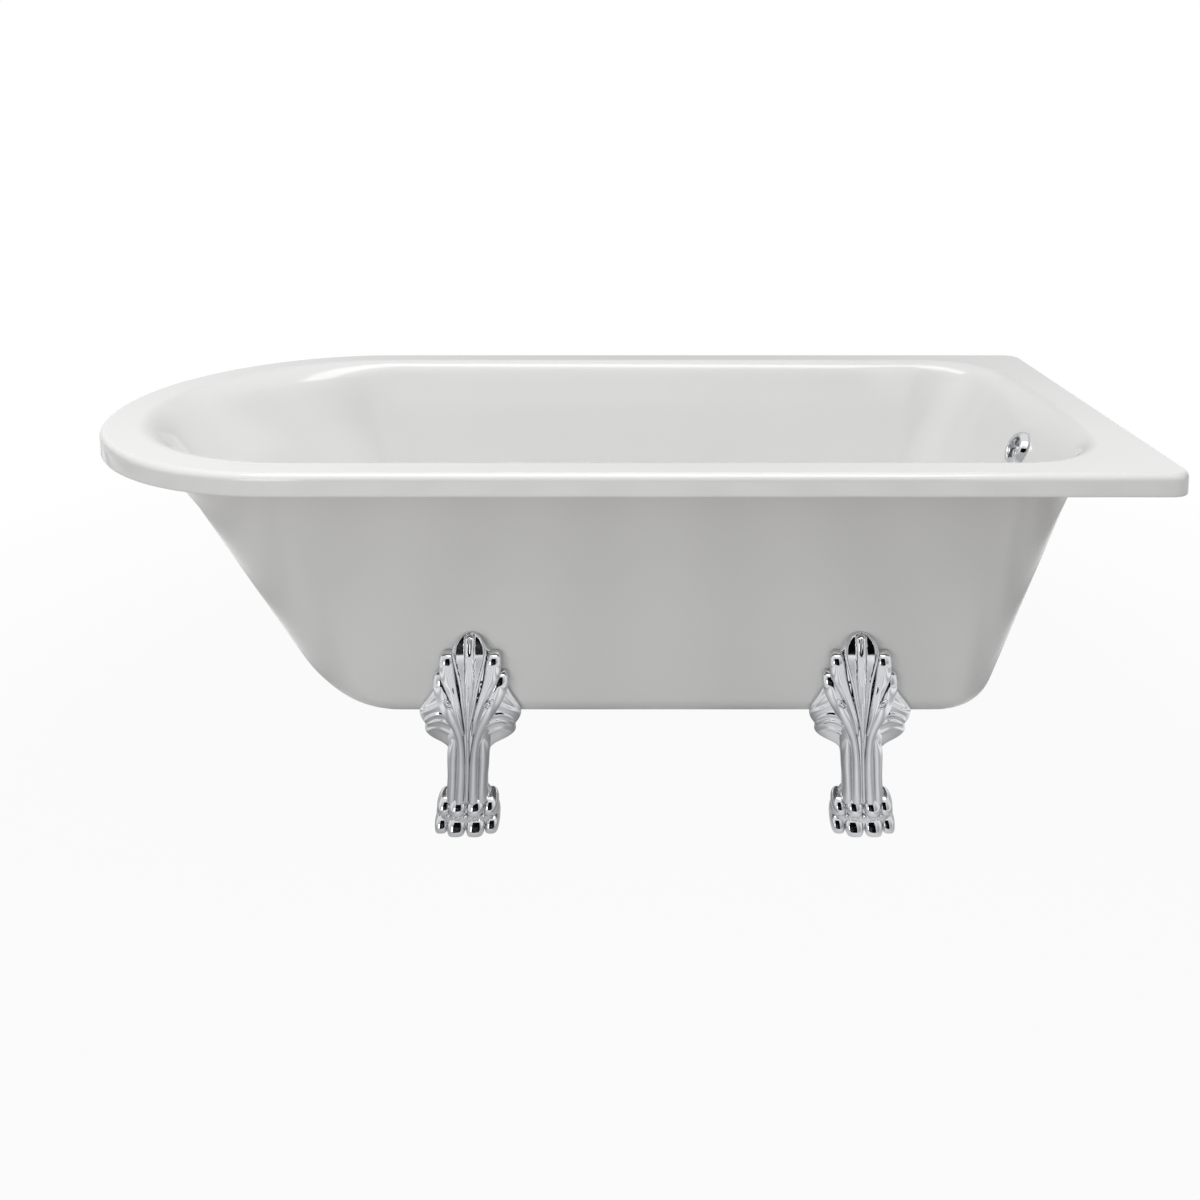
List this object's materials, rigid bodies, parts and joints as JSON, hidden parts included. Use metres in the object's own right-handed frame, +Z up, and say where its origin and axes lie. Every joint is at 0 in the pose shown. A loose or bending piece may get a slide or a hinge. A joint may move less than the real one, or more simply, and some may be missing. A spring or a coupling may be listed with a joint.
{
  "type": "clawfoot bathtub",
  "caption": "Double-skinned single-ended bath with a round head end, a square tap end, a rolled rim and ornate claw feet, with waste, overflow and levellers.",
  "frame": {"origin": "on the floor under the middle of the rim", "axes": "+X towards the square tap end, -Y the front, +Z up"},
  "size_m": [1.7, 0.78, 0.62],
  "materials": {
    "acrylic_inner": "thermoformed sanitary acrylic, high gloss",
    "acrylic_outer": "thermoformed acrylic outer skin, high gloss",
    "board": "raw chipboard, sealed edges",
    "batten": "planed softwood under resin",
    "foot_chrome": "polished chrome on a casting",
    "trim_chrome": "polished chrome plate",
    "zinc_steel": "bright zinc plate",
    "leveller_steel": "zinc plated steel",
    "stem_brass": "turned brass",
    "pipe_plastic": "moulded white polypropylene",
    "hose_plastic": "grey flexible PVC",
    "seal_rubber": "black EPDM"
  },
  "bodies": {
    "tub": {"inner_tub": "acrylic_inner", "outer_skin": "acrylic_outer", "base_board": "board", "rim_battens": "batten", "claw_foot_front_left": "foot_chrome", "claw_foot_front_right": "foot_chrome", "claw_foot_rear_left": "foot_chrome", "claw_foot_rear_right": "foot_chrome", "foot_bolts": "zinc_steel", "hose_clips": "zinc_steel", "overflow_ring": "trim_chrome", "overflow_bars": "trim_chrome", "overflow_screw": "trim_chrome", "waste_flange": "trim_chrome", "overflow_body": "pipe_plastic", "waste_body": "pipe_plastic", "overflow_hose": "hose_plastic", "rubber_seals": "seal_rubber"},
    "leveller_front_left": {"leveller_front_left": "leveller_steel"},
    "leveller_front_right": {"leveller_front_right": "leveller_steel"},
    "leveller_rear_left": {"leveller_rear_left": "leveller_steel"},
    "leveller_rear_right": {"leveller_rear_right": "leveller_steel"},
    "plug": {"plug_cap": "trim_chrome", "plug_stem": "stem_brass"}
  },
  "joints": [
    {"name": "leveller_front_left_screw", "type": "slide", "parent": "tub", "child": "leveller_front_left", "axis": [0, 0, -1], "range_m": [0, 0.012]},
    {"name": "leveller_front_right_screw", "type": "slide", "parent": "tub", "child": "leveller_front_right", "axis": [0, 0, -1], "range_m": [0, 0.012]},
    {"name": "leveller_rear_left_screw", "type": "slide", "parent": "tub", "child": "leveller_rear_left", "axis": [0, 0, -1], "range_m": [0, 0.012]},
    {"name": "leveller_rear_right_screw", "type": "slide", "parent": "tub", "child": "leveller_rear_right", "axis": [0, 0, -1], "range_m": [0, 0.012]},
    {"name": "plug_lift", "type": "slide", "parent": "tub", "child": "plug", "axis": [0, 0, 1], "range_m": [0, 0.009]}
  ]
}
